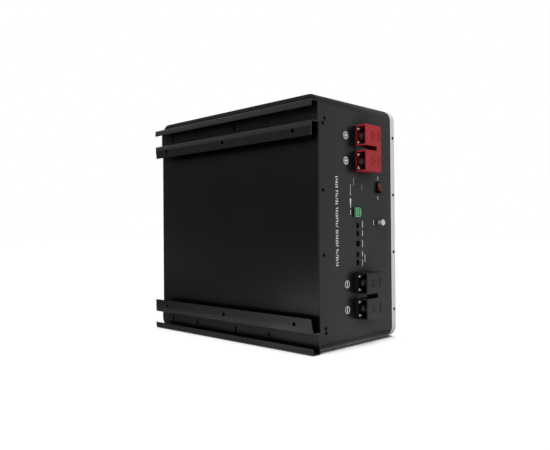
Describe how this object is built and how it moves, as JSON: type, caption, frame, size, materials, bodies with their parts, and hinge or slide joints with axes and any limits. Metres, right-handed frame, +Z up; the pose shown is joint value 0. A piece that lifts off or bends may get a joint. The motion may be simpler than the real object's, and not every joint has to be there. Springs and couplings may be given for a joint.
{
  "type": "wall-mounted battery pack",
  "caption": "Box-shaped wall-hung lithium battery pack with rounded corners, a white front cover, hook brackets on its back, and hooded power terminals, switch and ports on one side.",
  "frame": {"origin": "centre of the case's bottom face", "axes": "+X to the right seen from the front cover, the terminals being on the -X side; +Y towards the wall; +Z up"},
  "size_m": [0.482, 0.2563, 0.45],
  "materials": {
    "case_black": "matt black powder coat",
    "bracket_black": "matt dark grey powder coat",
    "cover_white": "satin white powder coat",
    "gasket_black": "black foam rubber",
    "red_plastic": "moulded red plastic",
    "black_plastic": "moulded black plastic",
    "green_plastic": "moulded green plastic",
    "clear_plastic": "clear moulded plastic",
    "zinc_steel": "bright zinc plating",
    "post_brass": "turned brass",
    "bar_copper": "bare copper bar",
    "cell_wrap": "blue shrink film",
    "board_green": "green solder mask",
    "fin_aluminium": "plain extruded aluminium"
  },
  "bodies": {
    "case": {"case_sleeve": "case_black", "cover_collar": "case_black", "back_panel": "case_black", "front_gasket": "gasket_black", "front_cover": "cover_white", "upper_wall_bracket": "bracket_black", "lower_wall_bracket": "bracket_black", "upper_bracket_screw_1": "zinc_steel", "upper_bracket_screw_2": "zinc_steel", "lower_bracket_screw_1": "zinc_steel", "lower_bracket_screw_2": "zinc_steel", "positive_terminal_base": "red_plastic", "positive_terminal_bolt_1": "zinc_steel", "positive_terminal_bolt_2": "zinc_steel", "positive_base_screw_1": "zinc_steel", "positive_base_screw_2": "zinc_steel", "positive_base_screw_3": "zinc_steel", "positive_base_screw_4": "zinc_steel", "positive_lead": "bar_copper", "negative_terminal_base": "black_plastic", "negative_terminal_bolt_1": "zinc_steel", "negative_terminal_bolt_2": "zinc_steel", "negative_base_screw_1": "zinc_steel", "negative_base_screw_2": "zinc_steel", "negative_base_screw_3": "zinc_steel", "negative_base_screw_4": "zinc_steel", "negative_lead": "bar_copper", "power_switch_body": "black_plastic", "wake_button_body": "black_plastic", "comm_port_1": "black_plastic", "comm_port_2": "black_plastic", "dry_contact_socket": "green_plastic", "ground_post": "post_brass", "ground_screw": "zinc_steel", "module_tray": "zinc_steel", "status_light_pipe": "clear_plastic", "interface_board": "board_green", "bms_board": "board_green", "cell_1": "cell_wrap", "cell_2": "cell_wrap", "cell_3": "cell_wrap", "cell_4": "cell_wrap", "cell_5": "cell_wrap", "cell_6": "cell_wrap", "cell_7": "cell_wrap", "cell_8": "cell_wrap", "cell_link_1": "bar_copper", "cell_link_2": "bar_copper", "cell_link_3": "bar_copper", "cell_link_4": "bar_copper", "cell_link_5": "bar_copper", "cell_link_6": "bar_copper", "cell_link_7": "bar_copper", "cell_negative_lead": "bar_copper", "bms_heatsink": "fin_aluminium"},
    "positive_cover": {"positive_terminal_cover": "red_plastic"},
    "negative_cover": {"negative_terminal_cover": "black_plastic"},
    "rocker": {"power_switch_rocker": "red_plastic"},
    "button": {"wake_button_cap": "black_plastic"},
    "plug": {"dry_contact_plug": "green_plastic"}
  },
  "joints": [
    {"name": "positive_cover_hinge", "type": "hinge", "parent": "case", "child": "positive_cover", "pos_m": [-0.2325, -0.0388, 0.3625], "axis": [0, 0, 1], "range_deg": [0, 100]},
    {"name": "negative_cover_hinge", "type": "hinge", "parent": "case", "child": "negative_cover", "pos_m": [-0.2325, -0.0388, 0.0915], "axis": [0, 0, 1], "range_deg": [0, 100]},
    {"name": "power_switch_rock", "type": "hinge", "parent": "case", "child": "rocker", "pos_m": [-0.2275, -0.058, 0.2934], "axis": [0, -1, 0], "range_deg": [0, 26]},
    {"name": "wake_button_press", "type": "slide", "parent": "case", "child": "button", "axis": [1, 0, 0], "range_m": [0, 0.0015]},
    {"name": "dry_contact_plug_pull", "type": "slide", "parent": "case", "child": "plug", "axis": [-1, 0, 0], "range_m": [0, 0.012]}
  ]
}
